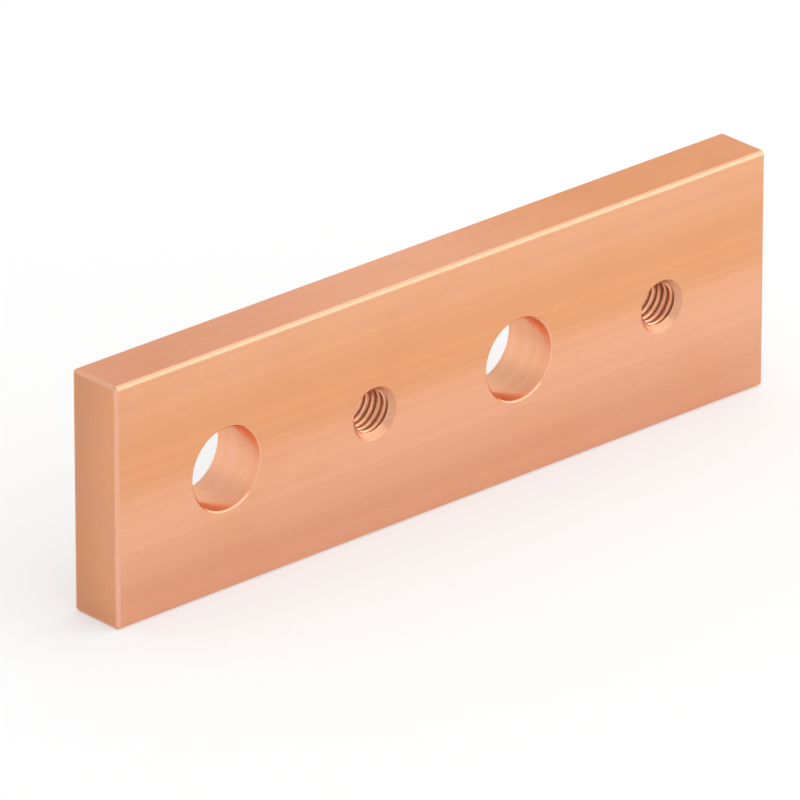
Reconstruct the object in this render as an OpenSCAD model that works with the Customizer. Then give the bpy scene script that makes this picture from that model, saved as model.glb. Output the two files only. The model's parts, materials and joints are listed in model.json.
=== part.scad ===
// Flat copper busbar with one row of holes that are plain and tapped by turns.
//
// The bar stands on its lower long edge: X runs along its length, Y through its
// thickness and Z up its width. The origin is the middle of the lower edge.
// The bar is one drawn, sawn, drilled and tapped piece. All sizes are in millimetres.

/* [Bar] */
// Width of the flat bar, which stands upright
bar_width = 40; // [30:1:80]
// Thickness of the flat bar
bar_thickness = 10; // [6:0.5:20]
// Radius that drawing leaves on the four long edges
edge_radius = 0.8; // [0.6:0.1:2]
// Bevel filed all round both sawn ends
end_bevel = 0.4; // [0.1:0.05:0.5]

/* [Hole row] */
// Number of hole pairs, each a clearance hole followed by a tapped hole
hole_pairs = 2; // [1:1:16]
// Distance from one hole to the next
hole_pitch = 30; // [20:0.5:60]
// Distance from each end of the bar to the nearest hole
end_margin = 22; // [14:0.5:60]

/* [Clearance holes] */
// Diameter of the plain holes, which pass an M12 bolt
clearance_diameter = 13.5; // [6.6:0.1:18]
// Bevel that deburring leaves on both rims of a plain hole
clearance_rim_bevel = 0.25; // [0.1:0.05:1]

/* [Tapped holes] */
// Nominal diameter of the thread, M8
thread_diameter = 8; // [5:1:12]
// Pitch of the thread, coarse series
thread_pitch = 1.25; // [0.8:0.05:1.75]
// How much wider than the thread the countersink is at each face
countersink_oversize = 0.8; // [0.2:0.1:2]

/* [Hidden] */
$fn = 96;

copper = "#e8a67f";

hole_count = 2 * hole_pairs;
bar_length = 2 * end_margin + (hole_count - 1) * hole_pitch;
hole_height = bar_width / 2;

// A tap drill leaves the crests of the thread
tap_drill_diameter = thread_diameter - thread_pitch;
countersink_diameter = thread_diameter + countersink_oversize;

// Cutters run this far out of the surface that they cut
overrun = 1;

function hole_x(index) = -bar_length / 2 + end_margin + index * hole_pitch;
function is_tapped(index) = index % 2 == 1;

// Outline of a slab of the bar, seen from one side, with its ends bevelled.
// The length runs along X and is centred, and the breadth runs along Y and is centred.
module bevelled_outline(length, breadth, bevel) {
    x = length / 2;
    y = breadth / 2;
    polygon([
        [-x, -y + bevel], [-x + bevel, -y], [x - bevel, -y], [x, -y + bevel],
        [x, y - bevel], [x - bevel, y], [-x + bevel, y], [-x, y - bevel]
    ]);
}

// Round rod along X, centred, with its ends bevelled
module bevelled_rod(length, radius, bevel) {
    half = length / 2;
    rotate([0, 90, 0])
        rotate_extrude()
            polygon([
                [0, -half], [radius - bevel, -half], [radius, -half + bevel],
                [radius, half - bevel], [radius - bevel, half], [0, half]
            ]);
}

// Undrilled bar: a slab as wide as the bar and a slab as thick as the bar cross
// each other, and a rod in each corner makes the rounded long edge.
module bar_blank() {
    rod_y = bar_thickness / 2 - edge_radius;
    rod_z = bar_width / 2 - edge_radius;
    translate([0, 0, bar_width / 2]) {
        rotate([90, 0, 0])
            linear_extrude(2 * rod_y, center = true)
                bevelled_outline(bar_length, bar_width, end_bevel);
        linear_extrude(2 * rod_z, center = true)
            bevelled_outline(bar_length, bar_thickness, end_bevel);
        for (y = [-rod_y, rod_y], z = [-rod_z, rod_z])
            translate([0, y, z])
                bevelled_rod(bar_length, edge_radius, end_bevel);
    }
}

// Cutter for a hole through the thickness, with a 45 degree bevel at each face
// that opens from the bore's diameter to the rim's
module through_hole(bore_diameter, rim_diameter) {
    bore_radius = bore_diameter / 2;
    rim_radius = rim_diameter / 2;
    face = bar_thickness / 2;
    bevel_start = face - (rim_radius - bore_radius);
    rotate([90, 0, 0])
        rotate_extrude()
            polygon([
                [0, -face - overrun], [rim_radius + overrun, -face - overrun],
                [bore_radius, -bevel_start], [bore_radius, bevel_start],
                [rim_radius + overrun, face + overrun], [0, face + overrun]
            ]);
}

module clearance_hole() {
    through_hole(clearance_diameter, clearance_diameter + 2 * clearance_rim_bevel);
}

module tapped_hole() {
    through_hole(tap_drill_diameter, countersink_diameter);
}

module busbar() {
    color(copper)
        difference() {
            bar_blank();
            for (index = [0 : hole_count - 1])
                translate([hole_x(index), 0, hole_height])
                    if (is_tapped(index))
                        tapped_hole();
                    else
                        clearance_hole();
        }
}

busbar();
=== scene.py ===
"""Copper busbar on a pale floor: a drawn flat bar with plain and tapped holes by turns.

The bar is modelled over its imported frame, in metres, with real thread turns in the tapped holes.
"""

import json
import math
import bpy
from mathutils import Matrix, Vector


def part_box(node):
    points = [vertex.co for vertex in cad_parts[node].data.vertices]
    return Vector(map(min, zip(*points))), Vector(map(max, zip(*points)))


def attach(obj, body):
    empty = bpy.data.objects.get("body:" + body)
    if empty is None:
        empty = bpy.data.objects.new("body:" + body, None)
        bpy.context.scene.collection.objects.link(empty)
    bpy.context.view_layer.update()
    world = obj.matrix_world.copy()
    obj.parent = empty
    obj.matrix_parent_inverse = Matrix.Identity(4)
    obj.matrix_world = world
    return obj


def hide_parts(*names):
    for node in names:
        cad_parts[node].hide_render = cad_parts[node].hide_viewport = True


bl_info = {
    "name": "Copper Busbar",
    "version": (1, 0, 0),
    "blender": (4, 5, 0),
    "location": "View3D > Sidebar > Busbar",
    "description": "Models a drilled and tapped copper busbar and the stage that it is shown on",
    "category": "Add Mesh",
}

from typing import NamedTuple

import bmesh
import bpy
from bpy.props import FloatProperty, FloatVectorProperty, IntProperty, PointerProperty
from mathutils import Vector

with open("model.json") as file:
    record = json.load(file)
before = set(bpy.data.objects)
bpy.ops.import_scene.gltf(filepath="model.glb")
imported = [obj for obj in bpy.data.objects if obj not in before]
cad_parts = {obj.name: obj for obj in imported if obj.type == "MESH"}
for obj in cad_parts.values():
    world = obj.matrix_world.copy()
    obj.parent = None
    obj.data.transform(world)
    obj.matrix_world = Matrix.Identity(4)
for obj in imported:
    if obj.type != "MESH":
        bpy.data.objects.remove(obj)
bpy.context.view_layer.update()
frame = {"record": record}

MM = 0.001
BAR_NODE = "busbar"
BODY = "root"

# Kinds of mount that are holes
PLAIN_HOLE = "bore"
TAPPED_HOLE = "threaded_hole"

# Slots of the three finishes on the bar
DRAWN, SAWN, MACHINED = range(3)

# Two places closer than this are the same place
TOUCH = 1e-6
# A part of a face's normal that is smaller than this counts as none
FLAT = 0.01
# A face looks along an axis if more than this part of its normal does
FACING = 0.9
# Faces that meet at a smaller turn than this are shaded as one surface
SMOOTH_TURN = math.radians(30)

# Cutters run this far out of the surface that they cut
OVERRUN = 1 * MM
# The ridge of a tap starts this far inside the drilled wall
TAP_OVERLAP = 0.15 * MM
# Turns of a tap that stand out of the bar
SPARE_TURNS = 2
# Metric thread: slope of each flank, and share of the pitch that is flat at the bottom of a groove
FLANK_SLOPE = math.radians(30)
GROOVE_FLAT = 1 / 8

# UV map that the sheen follows
MAP_NAME = "OFBake"
# Strip of that map that holds the bar's outside, without its ends
LONG_FACES = "long faces"
# Room between the strips
MAP_GAP = 1.2 * MM
# The flanks of a thread stand steep, so a tapped wall is drawn this many times longer
THREAD_STRETCH = 2

# Tool marks, by how long and how far apart they are, in millimetres
FINE_DRAWN_LINES = {"Length": 900.0, "Spacing": 0.4}
BROAD_DRAWN_LINES = {"Length": 1500.0, "Spacing": 2.2}
DIE_LINES = {"Length": 4000.0, "Spacing": 1.5}
SCRATCH_LINES = {"Length": 26.0, "Spacing": 0.34}
SAW_LINES = {"Length": 60.0, "Spacing": 0.3}
SAW_TEETH = {"Spacing": 0.62}
FINE_RINGS = {"Length": 90.0, "Spacing": 0.34}
BROAD_RINGS = {"Length": 120.0, "Spacing": 1.6}
DRILL_TURNS = {"Spacing": 0.48}

# How deep the marks on each finish are
DRAWN_DEPTH = 0.005 * MM
SAWN_DEPTH = 0.014 * MM
MACHINED_DEPTH = 0.007 * MM

# Angles at which scratches cross the bar's length
SCRATCH_TURNS = (0.2, -0.4)
# How far even marks stray from their places, in millimetres
FEED_DRIFT = 0.25
# Bow of the saw's arcs, in millimetres for each square millimetre from the middle
SAW_BOW = 0.003

# Painted sheen bands on the long faces: where each tint takes over from the one below it, from 0 at the
# lower edge to 1 at the upper
SHEEN_BANDS = {"Rose": (0.04, 0.4), "Warm": (0.38, 0.62), "Light": (0.68, 1.0)}
# Streaks in which the bands wander, in millimetres, and how far they do
BAND_STREAKS = {"Length": 400.0, "Spacing": 7.0}
BAND_WANDER = 0.1
# Along the narrow long faces, a painted sheen that runs from end to end: the band at the bar's middle,
# and its change from end to end
NARROW_MIDDLE = 0.377
NARROW_CHANGE = 0.81
# Height from the bar's middle, as a share of the whole, over which a wide face becomes a narrow one
NARROW_START = 0.485
NARROW_STOP = 0.4975
# Share of the tarnish in the film at its thickest
FILM_SHARE = 0.16

# How ragged the rubbed edges are, as a share of their width
WEAR_RAGGED = 0.8
# How far in from an edge they are still whole, and gone, as shares of their width too
WEAR_WHOLE = 0.6
WEAR_GONE = 1.5

# The marks of a tapped hole reach this many times the radius of its thread
TAPPED_REACH = 2.0
# Length over which the threaded wall's marks give way to the countersink's, in millimetres
WALL_FADE = 0.2

# The floor lies this far under the bar, so that the two don't share a plane
FLOOR_DROP = 0.05 * MM


def srgb(red, green, blue):
    """Linear colour of an 8-bit screen colour, by the curve that screens use."""

    def linear(level):
        share = level / 255
        if share <= 0.04045:
            return share / 12.92
        return ((share + 0.055) / 1.055) ** 2.4

    return tuple(linear(level) for level in (red, green, blue))


def holes_of_kind(kind):
    """The record's mounts of one kind, which say where the holes are and how wide."""
    return [mount for mount in frame["record"]["mounts"] if mount["kind"] == kind]


# Sizes and finishes that a user may change


class BusbarSizes(bpy.types.PropertyGroup):
    """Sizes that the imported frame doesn't state."""

    edge_radius: FloatProperty(
        name="Edge radius",
        description="Radius that drawing leaves on the long edges",
        default=0.8 * MM,
        precision=5,
        unit="LENGTH",
    )
    end_bevel: FloatProperty(
        name="End bevel",
        description="Bevel filed all round both sawn ends",
        default=0.4 * MM,
        precision=5,
        unit="LENGTH",
    )
    thread_diameter: FloatProperty(
        name="Thread diameter",
        description="Nominal diameter of the thread, at the bottom of its grooves",
        default=8 * MM,
        precision=5,
        unit="LENGTH",
    )
    thread_pitch: FloatProperty(
        name="Thread pitch",
        description="Distance from one turn of the thread to the next",
        default=1.25 * MM,
        precision=5,
        unit="LENGTH",
    )
    edge_segments: IntProperty(
        name="Edge segments",
        description="Flat strips across each rounded long edge",
        default=12,
    )
    hole_segments: IntProperty(
        name="Hole segments",
        description="Flat strips round each hole",
        default=128,
    )


class BusbarFinish(bpy.types.PropertyGroup):
    """Tints and smoothness of the bare copper."""

    # Painted highlight: this lighter copper near the upper edge of the wide faces stands in for sheen.
    # The holes also use it for their lighter rings.
    light_tint: FloatVectorProperty(
        name="Light tint",
        description="Copper near the upper edge",
        subtype="COLOR",
        default=srgb(235, 174, 135),
    )
    # Painted sheen: this orange band above the middle of the wide faces stands in for reflection. The
    # ends also use it as a plain tone.
    warm_tint: FloatVectorProperty(
        name="Warm tint",
        description="Orange band above the middle of the wide faces",
        subtype="COLOR",
        default=srgb(231, 165, 120),
    )
    # Painted highlight: this pink band below the middle of the wide faces stands in for sheen. The holes
    # also use it as a plain tone.
    rose_tint: FloatVectorProperty(
        name="Rose tint",
        description="Pink band below the middle of the wide faces",
        subtype="COLOR",
        default=srgb(238, 177, 143),
    )
    # Painted shade: this duller copper near the lower edge of the wide faces stands in for shade. The
    # ends also use it for random duller patches.
    dull_and_shade_tint: FloatVectorProperty(
        name="Dusk tint",
        description="Duller copper near the lower edge",
        subtype="COLOR",
        default=srgb(226, 164, 131),
    )
    tarnish_tint: FloatVectorProperty(
        name="Tarnish tint",
        description="Faint brown film where the bar has been handled",
        subtype="COLOR",
        default=srgb(206, 136, 98),
    )
    rubbed_tint: FloatVectorProperty(
        name="Rubbed tint",
        description="Paler copper along the edges, which handling rubs bright",
        subtype="COLOR",
        default=srgb(238, 179, 148),
    )
    grazing_tint: FloatVectorProperty(
        name="Grazing tint",
        description="How much of each colour the copper still mirrors at a low angle",
        subtype="COLOR",
        default=(0.96, 0.745, 0.66),
    )
    sheen_stretch: FloatProperty(
        name="Sheen stretch",
        description="How far the tool lines stretch a highlight across them, from none to a thin streak",
        subtype="FACTOR",
        default=0.6,
    )
    drawn_roughness: FloatProperty(
        name="Drawn roughness",
        description="Roughness of the long faces between their marks",
        subtype="FACTOR",
        default=0.33,
    )
    sawn_roughness: FloatProperty(
        name="Sawn roughness",
        description="Roughness of the ends between their marks",
        subtype="FACTOR",
        default=0.4,
    )
    machined_roughness: FloatProperty(
        name="Machined roughness",
        description="Roughness of the holes between their marks",
        subtype="FACTOR",
        default=0.28,
    )
    rubbed_roughness: FloatProperty(
        name="Rubbed roughness",
        description="Roughness of the edges that handling rubs bright",
        subtype="FACTOR",
        default=0.26,
    )
    rubbed_width: FloatProperty(
        name="Rubbed width",
        description="How far in from the outer edges the copper is rubbed bright",
        default=0.5 * MM,
        precision=5,
        unit="LENGTH",
    )


class BusbarStage(bpy.types.PropertyGroup):
    """View, floor and light."""

    azimuth: FloatProperty(
        name="Azimuth",
        description="Direction of the view round the bar, from its front",
        subtype="ANGLE",
        default=math.radians(-42.292),
    )
    elevation: FloatProperty(
        name="Elevation",
        description="Height of the view above the horizon",
        subtype="ANGLE",
        default=math.radians(24.273),
    )
    distance: FloatProperty(
        name="Distance",
        description="From the camera to the point that it aims at",
        default=1.927,
        unit="LENGTH",
    )
    frame_width: FloatProperty(
        name="Frame width",
        description="Width of the picture at the middle of the bar",
        default=122.4 * MM,
        precision=4,
        unit="LENGTH",
    )
    aim_right: FloatProperty(
        name="Aim right",
        description="How far to the right of the bar's middle the camera aims",
        default=-3.9 * MM,
        precision=5,
        unit="LENGTH",
    )
    aim_up: FloatProperty(
        name="Aim up",
        description="How far above the bar's middle the camera aims",
        default=-3.55 * MM,
        precision=5,
        unit="LENGTH",
    )
    floor_size: FloatProperty(
        name="Floor size",
        description="Length of each side of the floor",
        default=12.0,
        unit="LENGTH",
    )
    floor_colour: FloatVectorProperty(
        name="Floor colour",
        description="Colour of the floor",
        subtype="COLOR",
        default=(0.885, 0.885, 0.885),
    )
    floor_glow: FloatProperty(
        name="Floor glow",
        description="Share of plain white in the floor as it is seen, which lightens the shadow",
        subtype="FACTOR",
        default=0.4,
    )
    world_fill: FloatProperty(
        name="World fill",
        description="Strength of the even light from all round",
        default=0.89,
    )
    zenith_level: FloatProperty(
        name="Zenith level",
        description="Brightness of the surroundings straight above, where 1 is the white of the horizon",
        subtype="FACTOR",
        default=0.7,
    )
    zenith_start: FloatProperty(
        name="Zenith start",
        description="Height from which the surroundings darken, where 1 is straight above",
        subtype="FACTOR",
        default=0.3,
    )
    key_power: FloatProperty(
        name="Key power",
        description="Power of the large lamp in front, above and to the right",
        default=23.0,
        unit="POWER",
    )
    key_place: FloatVectorProperty(
        name="Key place",
        description="Middle of the large lamp",
        subtype="TRANSLATION",
        default=(0.85, -0.75, 1.25),
    )
    key_size: FloatProperty(
        name="Key size",
        description="Length of each side of the large lamp",
        default=3.6,
        unit="LENGTH",
    )
    sheen_power: FloatProperty(
        name="Sheen power",
        description="Power of the small low lamp in front and to the right, which draws the sheen",
        default=0.45,
        unit="POWER",
    )
    sheen_place: FloatVectorProperty(
        name="Sheen place",
        description="Middle of the small low lamp",
        subtype="TRANSLATION",
        default=(0.62, -0.68, 0.3),
    )
    sheen_size: FloatProperty(
        name="Sheen size",
        description="Length of each side of the small low lamp",
        default=0.6,
        unit="LENGTH",
    )


# Modelling steps


def deselect_all():
    """Leaves no object selected, so that an operator acts only on what is added next."""
    if bpy.context.mode != "OBJECT":
        bpy.ops.object.mode_set(mode="OBJECT")
    bpy.ops.object.select_all(action="DESELECT")


def make_active(piece):
    """Selects one object alone."""
    deselect_all()
    piece.select_set(True)
    bpy.context.view_layer.objects.active = piece


def apply_transform(piece):
    """Puts a piece's place, turn and scale into its mesh."""
    make_active(piece)
    bpy.ops.object.transform_apply(location=True, rotation=True, scale=True)


def select_where(piece, kind, wanted):
    """In edit mode, selects the vertices, edges or faces that a test picks."""
    bpy.ops.mesh.select_mode(type=kind)
    bpy.ops.mesh.select_all(action="DESELECT")
    mesh = bmesh.from_edit_mesh(piece.data)
    elements = {"VERT": mesh.verts, "EDGE": mesh.edges, "FACE": mesh.faces}[kind]
    for element in elements:
        if wanted(element):
            element.select_set(True)
    bmesh.update_edit_mesh(piece.data)


def apply_modifier(piece, kind, **settings):
    """Adds a modifier to a piece, sets it and applies it."""
    make_active(piece)
    bpy.ops.object.modifier_add(type=kind)
    modifier = piece.modifiers[-1]
    for name, value in settings.items():
        setattr(modifier, name, value)
    bpy.ops.object.modifier_apply(modifier=modifier.name)


def delete(*objects):
    """Removes cutters that are done with."""
    deselect_all()
    for item in objects:
        item.select_set(True)
    bpy.ops.object.delete()


def is_end(face):
    """True for the flat ends of the bar, without their bevels."""
    return abs(face.normal.x) > FACING


def is_drill_tip(face):
    """True for the flat ends of a drill."""
    return abs(face.normal.y) > FACING


def is_cut_wall(face):
    """True for the faces in a hole that a thread has cut to more than four corners."""
    return face.material_index == MACHINED and len(face.verts) > 4


def add_blank(sizes, drawn, sawn):
    """Undrilled bar with rounded long edges and bevelled ends."""
    low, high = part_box(BAR_NODE)
    size = high - low
    core = Vector((size.x - 2 * sizes.end_bevel, size.y, size.z))
    deselect_all()
    bpy.ops.mesh.primitive_cube_add(
        size=1, location=(low + high) / 2, scale=core, calc_uvs=False
    )
    bar = bpy.context.object
    bar.name = "copper_bar"
    bar.data.name = "copper_bar"
    apply_transform(bar)
    bar.data.materials.append(drawn)
    bar.data.materials.append(sawn)

    bpy.ops.object.mode_set(mode="EDIT")
    select_where(bar, "EDGE", lambda edge: edge.calc_length() > core.x - TOUCH)
    bpy.ops.mesh.bevel(
        offset=sizes.edge_radius,
        segments=sizes.edge_segments,
        profile=0.5,
        affect="EDGES",
    )
    select_where(bar, "FACE", is_end)
    bpy.ops.mesh.inset(thickness=sizes.end_bevel, depth=sizes.end_bevel)
    select_where(bar, "FACE", is_end)
    bar.active_material_index = SAWN
    bpy.ops.object.material_slot_assign()
    bpy.ops.object.mode_set(mode="OBJECT")
    return bar


def add_drill(sizes, hole, machined):
    """Cutter for one kind of hole: a straight wall that opens at 45 degrees at both faces."""
    low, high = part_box(BAR_NODE)
    radius = hole["dims"]["r_mm"] * MM
    wall = hole["dims"]["length_mm"] * MM
    flare = (high.y - low.y - wall) / 2 + OVERRUN
    flare_scale = (radius + flare) / radius
    deselect_all()
    bpy.ops.mesh.primitive_cylinder_add(
        vertices=sizes.hole_segments,
        radius=radius,
        depth=wall,
        rotation=(math.pi / 2, 0, 0),
        calc_uvs=False,
    )
    drill = bpy.context.object
    apply_transform(drill)
    bpy.ops.object.mode_set(mode="EDIT")
    select_where(drill, "FACE", is_drill_tip)
    bpy.ops.mesh.extrude_region_shrink_fatten(
        MESH_OT_extrude_region={},
        TRANSFORM_OT_shrink_fatten={"value": flare},
    )
    bpy.ops.transform.resize(value=(flare_scale, 1, flare_scale), center_override=(0, 0, 0))
    bpy.ops.object.mode_set(mode="OBJECT")
    drill.data.materials.append(machined)
    return drill


def add_tap(sizes, hole, machined):
    """Cutter for the grooves of a thread: a right-hand ridge that winds along the hole."""
    low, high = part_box(BAR_NODE)
    pitch = sizes.thread_pitch
    crest_radius = hole["dims"]["r_mm"] * MM
    root_radius = sizes.thread_diameter / 2
    inner_radius = crest_radius - TAP_OVERLAP
    depth = root_radius - inner_radius
    root_width = pitch * GROOVE_FLAT
    inner_width = root_width + 2 * depth * math.tan(FLANK_SLOPE)
    turns = math.ceil((high.y - low.y) / pitch) + SPARE_TURNS
    deselect_all()
    bpy.ops.mesh.primitive_plane_add(size=1, calc_uvs=False)
    tap = bpy.context.object
    bpy.ops.object.mode_set(mode="EDIT")
    bpy.ops.transform.resize(value=(depth, inner_width, 1), center_override=(0, 0, 0))
    start = (inner_radius + depth / 2, -turns * pitch / 2, 0)
    bpy.ops.transform.translate(value=start)
    select_where(tap, "VERT", lambda vertex: vertex.co.x > start[0])
    bpy.ops.transform.resize(value=(1, root_width / inner_width, 1), center_override=start)
    bpy.ops.mesh.select_all(action="SELECT")
    bpy.ops.mesh.delete(type="ONLY_FACE")
    bpy.ops.object.mode_set(mode="OBJECT")
    apply_modifier(
        tap,
        "SCREW",
        axis="Y",
        angle=2 * math.pi,
        screw_offset=pitch,
        iterations=turns,
        steps=sizes.hole_segments // 2,
        render_steps=sizes.hole_segments // 2,
    )
    bpy.ops.object.mode_set(mode="EDIT")
    bpy.ops.mesh.select_all(action="SELECT")
    bpy.ops.mesh.fill_holes(sides=4)
    bpy.ops.mesh.select_all(action="SELECT")
    bpy.ops.mesh.normals_make_consistent(inside=False)
    bpy.ops.object.mode_set(mode="OBJECT")
    tap.data.materials.append(machined)
    return tap


def cut_row(bar, cutter, holes):
    """Cuts each hole of a row with one cutter. The cut faces keep the cutter's material."""
    for hole in holes:
        cutter.location = Vector(hole["pos_m"])
        apply_modifier(
            bar,
            "BOOLEAN",
            operation="DIFFERENCE",
            object=cutter,
            solver="EXACT",
            material_mode="TRANSFER",
        )


def finish_shading(bar):
    """Smooth rounded edges and walls, with flat faces that stay flat."""
    make_active(bar)
    bpy.ops.object.mode_set(mode="EDIT")
    bpy.ops.mesh.select_all(action="SELECT")
    bpy.ops.mesh.remove_doubles(threshold=TOUCH)
    # Where a thread runs out, a plain split would give two faces the same sliver
    select_where(bar, "FACE", is_cut_wall)
    bpy.ops.mesh.quads_convert_to_tris(quad_method="BEAUTY", ngon_method="BEAUTY")
    bpy.ops.object.mode_set(mode="OBJECT")
    bpy.ops.object.shade_smooth_by_angle(angle=SMOOTH_TURN)
    apply_modifier(bar, "WEIGHTED_NORMAL", mode="FACE_AREA", weight=100, keep_sharp=True)


# Flat layout of the surface, with U across the lines that each tool left


def unroll_section(box, radius, normal, point):
    """Place on the strip of the long faces: U round the section and V along the bar."""
    low, high = box
    y = min(max(point.y, low.y + radius), high.y - radius)
    z = min(max(point.z, low.z + radius), high.z - radius)
    turn = math.atan2(point.z - z, y - point.y)
    run = y - low.y + z - low.z - 2 * radius
    if normal.y > FLAT or normal.z < -FLAT:
        # The back and the underside come after the front and the top
        run = 2 * (high.y - low.y + high.z - low.z - 4 * radius) - run
        if turn < math.pi / 4:
            turn += 2 * math.pi
    return Vector((run + radius * turn, high.x - point.x))


def unroll_wall(hole, middle, point):
    """Place on the strip of a hole's wall: U along the hole and V round it."""
    axis = Vector(hole["pos_m"])
    radius = hole["dims"]["r_mm"] * MM
    stretch = THREAD_STRETCH if hole["kind"] == TAPPED_HOLE else 1
    start = math.atan2(middle.z - axis.z, middle.x - axis.x)
    turn = math.atan2(point.z - axis.z, point.x - axis.x) - start
    turn = (turn + math.pi) % (2 * math.pi) - math.pi
    return Vector((stretch * point.y, -radius * (start + turn)))


def flatten_face(box, radius, holes, face, points):
    """Name of the strip that a face belongs to, and its corners' places on that strip."""
    if face.material_index == DRAWN:
        return LONG_FACES, [unroll_section(box, radius, face.normal, point) for point in points]
    if face.material_index == SAWN:
        side = math.copysign(1, face.normal.x)
        return f"end {side}", [Vector((side * point.y, point.z)) for point in points]
    hole = min(holes, key=lambda mount: abs(mount["pos_m"][0] - face.center.x))
    return hole["name"], [unroll_wall(hole, face.center, point) for point in points]


def lay_out_map(bar, sizes):
    """UV map that lays the whole surface out flat, at one scale, in columns of strips."""
    mesh = bar.data
    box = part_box(BAR_NODE)
    holes = holes_of_kind(PLAIN_HOLE) + holes_of_kind(TAPPED_HOLE)
    strips = {LONG_FACES: {}}
    for face in mesh.polygons:
        points = [mesh.vertices[index].co for index in face.vertices]
        name, places = flatten_face(box, sizes.edge_radius, holes, face, points)
        strips.setdefault(name, {}).update(zip(face.loop_indices, places))

    # The map is a square that the bar's length just fits in
    side = box[1].x - box[0].x + 2 * MAP_GAP
    corner = Vector((MAP_GAP, MAP_GAP))
    column_width = 0
    layer = mesh.uv_layers.new(name=MAP_NAME)
    for strip in strips.values():
        least = Vector(map(min, zip(*strip.values())))
        size = Vector(map(max, zip(*strip.values()))) - least
        if corner.y + size.y > side:
            corner = Vector((corner.x + column_width + MAP_GAP, MAP_GAP))
            column_width = 0
        for index, place in strip.items():
            layer.uv[index].vector = (corner + place - least) / side
        corner.y += size.y + MAP_GAP
        column_width = max(column_width, size.x)


# Shader building blocks


# Kinds of socket on a shader group
NUMBER = "NodeSocketFloat"
VECTOR = "NodeSocketVector"
COLOUR = "NodeSocketColor"

# Places of a Mix node's sockets, several of which share a name
MIX_SHARE = 0
MIX_NUMBERS = (2, 3)
MIX_TINTS = (6, 7)
MIXED_NUMBER = 0
MIXED_TINT = 2


def add_node(tree, kind, inputs=None, **settings):
    """Adds a node with its settings. Each input is set to a value or linked to a socket."""
    node = tree.nodes.new(kind)
    for name, value in settings.items():
        setattr(node, name, value)
    for key, value in (inputs or {}).items():
        if isinstance(value, bpy.types.NodeSocket):
            tree.links.new(value, node.inputs[key])
        else:
            node.inputs[key].default_value = value
    return node


def calculate(tree, operation, first, second=0.0, third=0.0):
    """Result of one sum on numbers."""
    node = add_node(tree, "ShaderNodeMath", {0: first, 1: second, 2: third}, operation=operation)
    return node.outputs[0]


def calculate_vector(tree, operation, first, second=(0.0, 0.0, 0.0)):
    """Result of one sum on vectors."""
    node = add_node(tree, "ShaderNodeVectorMath", {0: first, 1: second}, operation=operation)
    return node.outputs[0]


def split(tree, vector):
    """X, Y and Z of a vector."""
    return add_node(tree, "ShaderNodeSeparateXYZ", {0: vector}).outputs


def smooth_step(tree, value, start, stop, low=0.0, high=1.0):
    """low up to start, high from stop on, and smooth between them."""
    node = add_node(
        tree,
        "ShaderNodeMapRange",
        {"Value": value, "From Min": start, "From Max": stop, "To Min": low, "To Max": high},
        interpolation_type="SMOOTHSTEP",
    )
    return node.outputs["Result"]


def mix_tints(tree, share, first, second):
    """Tint between two others."""
    inputs = {MIX_SHARE: share, **dict(zip(MIX_TINTS, (first, second)))}
    return add_node(tree, "ShaderNodeMix", inputs, data_type="RGBA").outputs[MIXED_TINT]


def blend(tree, base, mask, target):
    """base where the mask is 0 and target where it is 1."""
    inputs = {MIX_SHARE: mask, **dict(zip(MIX_NUMBERS, (base, target)))}
    return add_node(tree, "ShaderNodeMix", inputs, data_type="FLOAT").outputs[MIXED_NUMBER]


def add_noise(tree, vector, scale, detail=2.0):
    """Smooth random value around one half."""
    node = add_node(
        tree, "ShaderNodeTexNoise", {"Vector": vector, "Scale": scale, "Detail": detail}
    )
    return node.outputs[0]


def centre(tree, value):
    """A value around one half, moved to lie around 0."""
    return calculate(tree, "SUBTRACT", value, 0.5)


def add_share(tree, base, mask, amount):
    """base plus a mask times amount."""
    return calculate(tree, "MULTIPLY_ADD", mask, amount, base)


def vary(tree, base, value, amount):
    """base, moved up and down by a value around one half, times amount."""
    return add_share(tree, base, centre(tree, value), amount)


def new_group(name, inputs, outputs):
    """Empty shader group, with its inputs' sockets and its outputs' sockets by name."""
    tree = bpy.data.node_groups.new(name, "ShaderNodeTree")
    for label, kind in inputs.items():
        tree.interface.new_socket(label, in_out="INPUT", socket_type=kind)
    for label, kind in outputs.items():
        tree.interface.new_socket(label, in_out="OUTPUT", socket_type=kind)
    given = tree.nodes.new("NodeGroupInput")
    result = tree.nodes.new("NodeGroupOutput")
    return tree, given.outputs, result.inputs


def use_group(tree, group, place, inputs):
    """Puts a shader group at a place on the piece and returns its outputs."""
    return add_node(
        tree, "ShaderNodeGroup", {"Vector": place, **inputs}, node_tree=group
    ).outputs


def tool_lines_group():
    """Fine lines along X, as a die or a cutting edge leaves them. Lengths are in millimetres."""
    tree, given, result = new_group(
        "Tool lines",
        {"Vector": VECTOR, "Length": NUMBER, "Spacing": NUMBER},
        {"Lines": NUMBER},
    )
    along = calculate(tree, "DIVIDE", 1.0, given["Length"])
    across = calculate(tree, "DIVIDE", 1.0, given["Spacing"])
    stretch = add_node(tree, "ShaderNodeCombineXYZ", {"X": along, "Y": across, "Z": across})
    stretched = calculate_vector(tree, "MULTIPLY", given["Vector"], stretch.outputs[0])
    tree.links.new(add_noise(tree, stretched, scale=1.0, detail=0.0), result["Lines"])
    return tree


def feed_marks_group():
    """Even marks side by side along Y, one for each turn or tooth of a tool, in millimetres."""
    tree, given, result = new_group(
        "Feed marks", {"Vector": VECTOR, "Spacing": NUMBER}, {"Marks": NUMBER}
    )
    wander = add_noise(tree, given["Vector"], scale=0.15, detail=1.0)
    drifting = vary(tree, split(tree, given["Vector"])["Y"], wander, FEED_DRIFT)
    phase = calculate(tree, "DIVIDE", drifting, given["Spacing"])
    wave = calculate(tree, "SINE", calculate(tree, "MULTIPLY", phase, 2 * math.pi))
    tree.links.new(calculate(tree, "MULTIPLY_ADD", wave, 0.5, 0.5), result["Marks"])
    return tree


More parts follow.
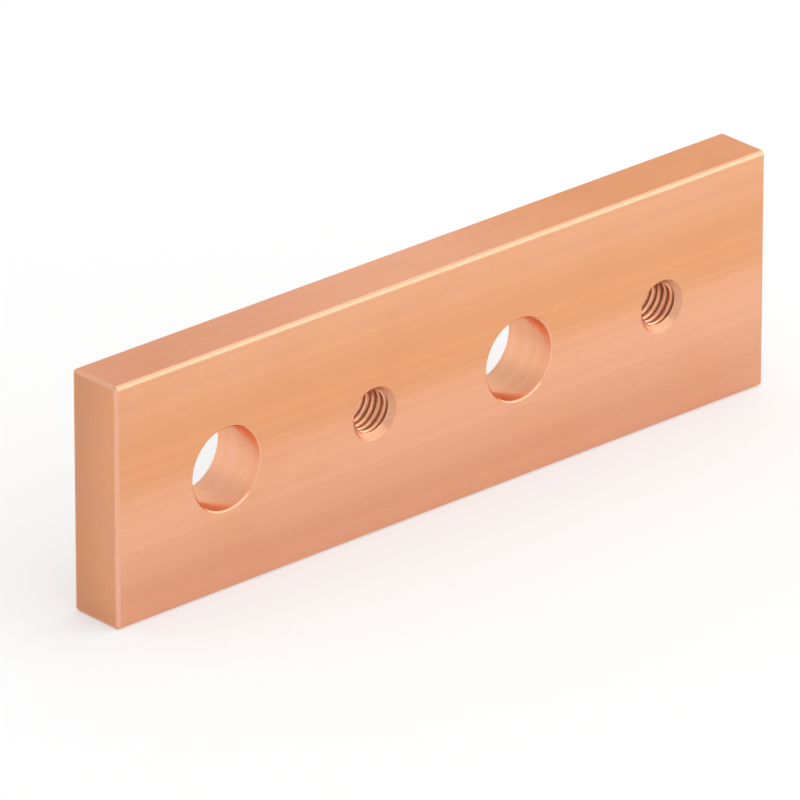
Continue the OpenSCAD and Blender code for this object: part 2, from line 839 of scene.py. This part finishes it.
def scratches_group(tool_lines):
    """Sparse thin scratches at an angle to X, in patches."""
    tree, given, result = new_group(
        "Scratches", {"Vector": VECTOR, "Turn": NUMBER}, {"Mask": NUMBER}
    )
    turned = add_node(
        tree,
        "ShaderNodeVectorRotate",
        {"Vector": given["Vector"], "Angle": given["Turn"]},
        rotation_type="Y_AXIS",
    ).outputs[0]
    lines = use_group(tree, tool_lines, turned, SCRATCH_LINES)["Lines"]
    thin = smooth_step(tree, lines, start=0.7, stop=0.8)
    patches = smooth_step(tree, add_noise(tree, turned, scale=0.07), start=0.5, stop=0.66)
    tree.links.new(calculate(tree, "MULTIPLY", thin, patches), result["Mask"])
    return tree


def edge_burnish_group():
    """1 along the outer edges of a box, falling to 0 over a ragged width on its faces."""
    tree, given, result = new_group(
        "Edge burnish",
        {"Vector": VECTOR, "Centre": VECTOR, "Half size": VECTOR, "Width": NUMBER},
        {"Mask": NUMBER},
    )
    offset = calculate_vector(tree, "SUBTRACT", given["Vector"], given["Centre"])
    depth = calculate_vector(
        tree, "SUBTRACT", calculate_vector(tree, "ABSOLUTE", offset), given["Half size"]
    )
    x, y, z = split(tree, depth)
    # The middle one of the three depths is the distance to the nearest edge
    nearer = calculate(tree, "MINIMUM", calculate(tree, "MAXIMUM", x, y), z)
    nearest = calculate(tree, "MAXIMUM", calculate(tree, "MINIMUM", x, y), nearer)
    noise = add_noise(tree, given["Vector"], scale=0.3, detail=3.0)
    ragged = vary(tree, 0.0, noise, WEAR_RAGGED)
    moved = add_share(tree, nearest, ragged, given["Width"])
    start = calculate(tree, "MULTIPLY", given["Width"], -WEAR_GONE)
    stop = calculate(tree, "MULTIPLY", given["Width"], -WEAR_WHOLE)
    tree.links.new(smooth_step(tree, moved, start, stop), result["Mask"])
    return tree


def sheen_and_film_group(tool_lines):
    """Painted sheen: copper in soft bands of painted highlight and shade, under a faint film. Band is 0
    at the dullest tint, which is painted shade, and 1 at the lightest.
    """
    tints = dict.fromkeys(("Dusk", *SHEEN_BANDS, "Tarnish"), COLOUR)
    tree, given, result = new_group(
        "Painted sheen and film",
        {"Vector": VECTOR, "Band": NUMBER, **tints},
        {"Tint": COLOUR, "Film": NUMBER},
    )
    streaks = use_group(tree, tool_lines, given["Vector"], BAND_STREAKS)["Lines"]
    band = vary(tree, given["Band"], streaks, BAND_WANDER)
    tint = given["Dusk"]
    for name, (start, stop) in SHEEN_BANDS.items():
        tint = mix_tints(tree, smooth_step(tree, band, start, stop), tint, given[name])
    clouds = add_noise(tree, given["Vector"], scale=0.06, detail=5.0)
    film = smooth_step(tree, clouds, start=0.48, stop=0.72)
    share = calculate(tree, "MULTIPLY", film, FILM_SHARE)
    tree.links.new(mix_tints(tree, share, tint, given["Tarnish"]), result["Tint"])
    tree.links.new(film, result["Film"])
    return tree


def build_groups():
    """Shader groups that the materials share."""
    lines = tool_lines_group()
    return {
        "lines": lines,
        "feed": feed_marks_group(),
        "scratches": scratches_group(lines),
        "burnish": edge_burnish_group(),
        "tint": sheen_and_film_group(lines),
    }


# Materials


class Look(NamedTuple):
    """Brightness, roughness and relief of the copper, or what a mark adds to them."""

    brightness: float = 0.0
    roughness: float = 0.0
    relief: float = 0.0


def add_marks(tree, look, marks):
    """Look after each mark, which is a mask and what it adds where the mask is 1."""
    for mask, change in marks:
        look = Look(
            *(
                add_share(tree, value, mask, amount) if amount else value
                for value, amount in zip(look, change)
            )
        )
    return look


def opaque(colour):
    """Colour with full alpha, as a socket takes it."""
    return (*colour, 1)


def start_copper(name, finish):
    """New metal material: its node tree, its shader and its place on the piece in millimetres."""
    material = bpy.data.materials.new(name)
    material.use_nodes = True
    tree = material.node_tree
    shader = tree.nodes["Principled BSDF"]
    shader.inputs["Metallic"].default_value = 1
    shader.inputs["Specular Tint"].default_value = opaque(finish.grazing_tint)
    shader.inputs["Anisotropic"].default_value = finish.sheen_stretch
    across = add_node(tree, "ShaderNodeTangent", direction_type="UV_MAP")
    tree.links.new(across.outputs[0], shader.inputs["Tangent"])
    place = add_node(tree, "ShaderNodeTexCoord").outputs["Object"]
    scaled = add_node(
        tree, "ShaderNodeVectorMath", {0: place, "Scale": 1 / MM}, operation="SCALE"
    )
    return material, tree, shader, scaled.outputs[0]


def finish_copper(tree, shader, tint, look, depth):
    """Links a tint and a look to the shader. depth is how deep the relief is, in metres."""
    shade = add_node(tree, "ShaderNodeHueSaturation", {"Color": tint, "Value": look.brightness})
    tree.links.new(shade.outputs[0], shader.inputs["Base Color"])
    tree.links.new(look.roughness, shader.inputs["Roughness"])
    bump = add_node(tree, "ShaderNodeBump", {"Height": look.relief, "Distance": depth})
    tree.links.new(bump.outputs[0], shader.inputs["Normal"])


def painted_sheen_and_film(tree, groups, finish, place):
    """Tint and film of the long faces. The bands, painted sheen and shade, climb the wide ones and run
    along the narrow ones.
    """
    low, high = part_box(BAR_NODE)
    size = (high - low) / MM
    x, _, z = split(tree, place)
    height = calculate(tree, "DIVIDE", z, size.z)
    along = calculate(tree, "DIVIDE", x, size.x)
    run = add_share(tree, NARROW_MIDDLE, along, NARROW_CHANGE)
    from_middle = calculate(tree, "ABSOLUTE", centre(tree, height))
    narrow = smooth_step(tree, from_middle, NARROW_START, NARROW_STOP)
    inputs = {
        "Band": blend(tree, height, narrow, run),
        "Dusk": opaque(finish.dull_and_shade_tint),
        "Rose": opaque(finish.rose_tint),
        "Warm": opaque(finish.warm_tint),
        "Light": opaque(finish.light_tint),
        "Tarnish": opaque(finish.tarnish_tint),
    }
    return use_group(tree, groups["tint"], place, inputs)


def rub_edges(tree, groups, finish, place, tint, look):
    """Tint and look with the bar's outer edges rubbed bright, as handling leaves them."""
    low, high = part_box(BAR_NODE)
    inputs = {
        "Centre": (low + high) / 2 / MM,
        "Half size": (high - low) / 2 / MM,
        "Width": finish.rubbed_width / MM,
    }
    burnish = use_group(tree, groups["burnish"], place, inputs)["Mask"]
    rubbed = Look(brightness=1.0, roughness=finish.rubbed_roughness)
    tint = mix_tints(tree, burnish, tint, opaque(finish.rubbed_tint))
    look = Look(*(blend(tree, value, burnish, target) for value, target in zip(look, rubbed)))
    return tint, look


def drawn_copper(groups, finish):
    """Long faces: painted sheen bands, lines from the drawing die, scratches and rubbed edges."""
    material, tree, shader, place = start_copper("drawn_copper", finish)
    copper = painted_sheen_and_film(tree, groups, finish, place)
    fine = use_group(tree, groups["lines"], place, FINE_DRAWN_LINES)["Lines"]
    broad = use_group(tree, groups["lines"], place, BROAD_DRAWN_LINES)["Lines"]
    die = use_group(tree, groups["lines"], place, DIE_LINES)["Lines"]
    die = smooth_step(tree, die, start=0.66, stop=0.76)
    first, second = (
        use_group(tree, groups["scratches"], place, {"Turn": turn})["Mask"]
        for turn in SCRATCH_TURNS
    )
    scratches = calculate(tree, "MAXIMUM", first, second)
    look = add_marks(
        tree,
        Look(brightness=0.98, roughness=finish.drawn_roughness),
        (
            (centre(tree, fine), Look(brightness=0.05, roughness=0.14, relief=1.0)),
            (centre(tree, broad), Look(brightness=0.03, roughness=0.12, relief=1.6)),
            # Die lines: real grooves in the relief, with a painted glint in their lighter colour
            (die, Look(brightness=0.03, relief=0.6)),
            (copper["Film"], Look(roughness=0.06)),
            (scratches, Look(brightness=0.07, roughness=-0.08, relief=-0.4)),
        ),
    )
    tint, look = rub_edges(tree, groups, finish, place, copper["Tint"], look)
    finish_copper(tree, shader, tint, look, DRAWN_DEPTH)
    return material


def sawn_copper(groups, finish):
    """Ends: shallow arcs from the saw blade, and painted shade that darkens them towards the back."""
    material, tree, shader, place = start_copper("sawn_copper", finish)
    low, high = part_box(BAR_NODE)
    _, y, z = split(tree, place)
    from_middle = calculate(tree, "SUBTRACT", z, (high.z + low.z) / 2 / MM)
    bow = calculate(tree, "MULTIPLY", calculate(tree, "POWER", from_middle, 2.0), SAW_BOW)
    across = calculate(tree, "ADD", y, bow)
    arc_place = add_node(tree, "ShaderNodeCombineXYZ", {"X": z, "Y": across}).outputs[0]
    fine = use_group(tree, groups["lines"], arc_place, SAW_LINES)["Lines"]
    teeth = use_group(tree, groups["feed"], arc_place, SAW_TEETH)["Marks"]
    back_shade = smooth_step(tree, across, low.y / MM, high.y / MM)
    dull = smooth_step(tree, add_noise(tree, place, scale=0.09), start=0.1, stop=0.9)
    tint = mix_tints(tree, dull, opaque(finish.warm_tint), opaque(finish.dull_and_shade_tint))
    look = add_marks(
        tree,
        Look(brightness=1.0, roughness=finish.sawn_roughness),
        (
            (centre(tree, fine), Look(brightness=0.1, roughness=0.2, relief=1.0)),
            (centre(tree, teeth), Look(brightness=0.06, roughness=0.12, relief=1.0)),
            # Painted shade: the end darkens from its front edge to its back edge
            (back_shade, Look(brightness=-0.15)),
        ),
    )
    tint, look = rub_edges(tree, groups, finish, place, tint, look)
    finish_copper(tree, shader, tint, look, SAWN_DEPTH)
    return material


def tapped_masks(tree, sizes, place):
    """Two masks: the threads' grooves, from 0 at the crests to 1 at the bottom, and the countersinks."""
    root = sizes.thread_diameter / 2 / MM
    flat_place = calculate_vector(tree, "MULTIPLY", place, (1.0, 0.0, 1.0))
    from_middle = calculate(tree, "ABSOLUTE", split(tree, place)["Y"])
    grooves = 0.0
    countersinks = 0.0
    for hole in holes_of_kind(TAPPED_HOLE):
        radius = add_node(
            tree,
            "ShaderNodeVectorMath",
            {0: flat_place, 1: Vector(hole["pos_m"]) / MM},
            operation="DISTANCE",
        ).outputs["Value"]
        wall_end = hole["dims"]["length_mm"] / 2
        near = calculate(tree, "LESS_THAN", radius, TAPPED_REACH * root)
        beyond_wall = smooth_step(tree, from_middle, wall_end, wall_end + WALL_FADE)
        countersink = calculate(tree, "MULTIPLY", near, beyond_wall)
        wall = calculate(tree, "SUBTRACT", near, countersink)
        deep = smooth_step(tree, radius, hole["dims"]["r_mm"], root)
        groove = calculate(tree, "MULTIPLY", wall, deep)
        grooves = calculate(tree, "MAXIMUM", grooves, groove)
        countersinks = calculate(tree, "MAXIMUM", countersinks, countersink)
    return grooves, countersinks


def machined_copper(groups, finish, sizes):
    """Holes: fresh copper with fine rings, painted shade in the grooves and darker, duller countersinks.
    """
    material, tree, shader, place = start_copper("machined_copper", finish)
    x, y, z = split(tree, place)
    around = calculate(tree, "ADD", x, z)
    ring_place = add_node(tree, "ShaderNodeCombineXYZ", {"X": around, "Y": y}).outputs[0]
    fine = use_group(tree, groups["lines"], ring_place, FINE_RINGS)["Lines"]
    broad = use_group(tree, groups["lines"], ring_place, BROAD_RINGS)["Lines"]
    turns = use_group(tree, groups["feed"], ring_place, DRILL_TURNS)["Marks"]
    light = smooth_step(tree, broad, start=0.35, stop=0.65)
    tint = mix_tints(tree, light, opaque(finish.rose_tint), opaque(finish.light_tint))
    grooves, countersinks = tapped_masks(tree, sizes, place)
    look = add_marks(
        tree,
        Look(brightness=1.1, roughness=finish.machined_roughness),
        (
            (centre(tree, fine), Look(brightness=0.08, roughness=0.16, relief=1.0)),
            (centre(tree, turns), Look(brightness=0.05, roughness=0.08, relief=0.8)),
            # Painted shade: the threads darken towards the bottom of their grooves
            (grooves, Look(brightness=-0.4, roughness=0.1)),
            (countersinks, Look(brightness=-0.2, roughness=0.1)),
        ),
    )
    finish_copper(tree, shader, tint, look, MACHINED_DEPTH)
    return material


# Stage


def seen_rays(tree):
    """1 for a ray from the camera, a reflection or a see-through surface, and 0 for any other."""
    rays = add_node(tree, "ShaderNodeLightPath").outputs
    seen = calculate(tree, "MAXIMUM", rays["Is Camera Ray"], rays["Is Glossy Ray"])
    return calculate(tree, "MAXIMUM", seen, rays["Is Transmission Ray"])


def add_floor(stage):
    """Wide pale floor that keeps the bar's shadow."""
    deselect_all()
    bpy.ops.mesh.primitive_plane_add(size=stage.floor_size, location=(0, 0, -FLOOR_DROP))
    floor = bpy.context.object
    floor.name = "floor"
    material = bpy.data.materials.new("pale_floor")
    material.use_nodes = True
    tree = material.node_tree
    tree.nodes.clear()
    paint = add_node(tree, "ShaderNodeBsdfDiffuse", {"Color": opaque(stage.floor_colour)})
    glow = add_node(tree, "ShaderNodeEmission")
    share = calculate(tree, "MULTIPLY", seen_rays(tree), stage.floor_glow)
    mixed = add_node(
        tree, "ShaderNodeMixShader", {"Fac": share, 1: paint.outputs[0], 2: glow.outputs[0]}
    )
    add_node(tree, "ShaderNodeOutputMaterial", {"Surface": mixed.outputs[0]})
    floor.data.materials.append(material)


def add_world(stage):
    """White surroundings to look at, and an even, weaker light from all round."""
    world = bpy.data.worlds.new("studio")
    world.use_nodes = True
    tree = world.node_tree
    background = tree.nodes["Background"]
    direction = add_node(tree, "ShaderNodeTexCoord").outputs["Generated"]
    height = split(tree, direction)["Z"]
    seen = smooth_step(tree, height, stage.zenith_start, 1.0, low=1.0, high=stage.zenith_level)
    strength = blend(tree, stage.world_fill, seen_rays(tree), seen)
    background.inputs["Color"].default_value = (1, 1, 1, 1)
    tree.links.new(strength, background.inputs["Strength"])
    bpy.context.scene.world = world


def add_lamp(name, place, aim, size, power):
    """Square soft lamp that shines at a point."""
    deselect_all()
    bpy.ops.object.light_add(type="AREA", location=place)
    lamp = bpy.context.object
    lamp.name = name
    lamp.rotation_euler = (aim - place).to_track_quat("-Z", "Y").to_euler()
    lamp.data.size = size
    lamp.data.energy = power


def add_camera(stage, middle):
    """Long lens at the picture's angle."""
    azimuth = stage.azimuth
    level = math.cos(stage.elevation)
    back = Vector(
        (math.sin(azimuth) * level, -math.cos(azimuth) * level, math.sin(stage.elevation))
    )
    right = Vector((math.cos(azimuth), math.sin(azimuth), 0))
    up = back.cross(right)
    aim = middle + right * stage.aim_right + up * stage.aim_up
    deselect_all()
    bpy.ops.object.camera_add(location=aim + back * stage.distance)
    camera = bpy.context.object
    camera.rotation_euler = (-back).to_track_quat("-Z", "Y").to_euler()
    camera.data.lens = camera.data.sensor_width * stage.distance / stage.frame_width
    bpy.context.scene.camera = camera


# Operators and panel


class BUSBAR_OT_add_bar(bpy.types.Operator):
    """Model the copper bar with its plain and tapped holes"""

    bl_idname = "busbar.add_bar"
    bl_label = "Copper bar"

    def execute(self, context):
        sizes = context.scene.busbar_sizes
        finish = context.scene.busbar_finish
        groups = build_groups()
        drawn = drawn_copper(groups, finish)
        sawn = sawn_copper(groups, finish)
        machined = machined_copper(groups, finish, sizes)
        bar = add_blank(sizes, drawn, sawn)
        plain = holes_of_kind(PLAIN_HOLE)
        tapped = holes_of_kind(TAPPED_HOLE)
        clearance_drill = add_drill(sizes, plain[0], machined)
        tapping_drill = add_drill(sizes, tapped[0], machined)
        tap = add_tap(sizes, tapped[0], machined)
        cut_row(bar, clearance_drill, plain)
        cut_row(bar, tapping_drill, tapped)
        cut_row(bar, tap, tapped)
        delete(clearance_drill, tapping_drill, tap)
        finish_shading(bar)
        lay_out_map(bar, sizes)
        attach(bar, BODY)
        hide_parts(BAR_NODE)
        return {"FINISHED"}


class BUSBAR_OT_add_stage(bpy.types.Operator):
    """Lay the pale floor and set the light and the camera"""

    bl_idname = "busbar.add_stage"
    bl_label = "Stage"

    def execute(self, context):
        stage = context.scene.busbar_stage
        low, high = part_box(BAR_NODE)
        middle = (low + high) / 2
        context.scene.view_settings.view_transform = "Standard"
        add_floor(stage)
        add_world(stage)
        add_lamp("key", stage.key_place, middle, stage.key_size, stage.key_power)
        add_lamp("sheen", stage.sheen_place, middle, stage.sheen_size, stage.sheen_power)
        add_camera(stage, middle)
        return {"FINISHED"}


class BUSBAR_PT_sidebar(bpy.types.Panel):
    """Sidebar panel that lists the sizes, the finishes, the stage and the steps"""

    bl_idname = "BUSBAR_PT_sidebar"
    bl_label = "Copper busbar"
    bl_space_type = "VIEW_3D"
    bl_region_type = "UI"
    bl_category = "Busbar"

    def draw(self, context):
        scene = context.scene
        for group in (scene.busbar_sizes, scene.busbar_finish, scene.busbar_stage):
            box = self.layout.box()
            for name in group.__annotations__:
                box.prop(group, name)
        self.layout.operator(BUSBAR_OT_add_bar.bl_idname)
        self.layout.operator(BUSBAR_OT_add_stage.bl_idname)


CLASSES = (
    BusbarSizes,
    BusbarFinish,
    BusbarStage,
    BUSBAR_OT_add_bar,
    BUSBAR_OT_add_stage,
    BUSBAR_PT_sidebar,
)


def register():
    for item in CLASSES:
        bpy.utils.register_class(item)
    bpy.types.Scene.busbar_sizes = PointerProperty(type=BusbarSizes)
    bpy.types.Scene.busbar_finish = PointerProperty(type=BusbarFinish)
    bpy.types.Scene.busbar_stage = PointerProperty(type=BusbarStage)


def unregister():
    del bpy.types.Scene.busbar_stage
    del bpy.types.Scene.busbar_finish
    del bpy.types.Scene.busbar_sizes
    for item in reversed(CLASSES):
        bpy.utils.unregister_class(item)


def main():
    register()
    bpy.ops.busbar.add_bar()
    bpy.ops.busbar.add_stage()


if __name__ == "__main__":
    main()
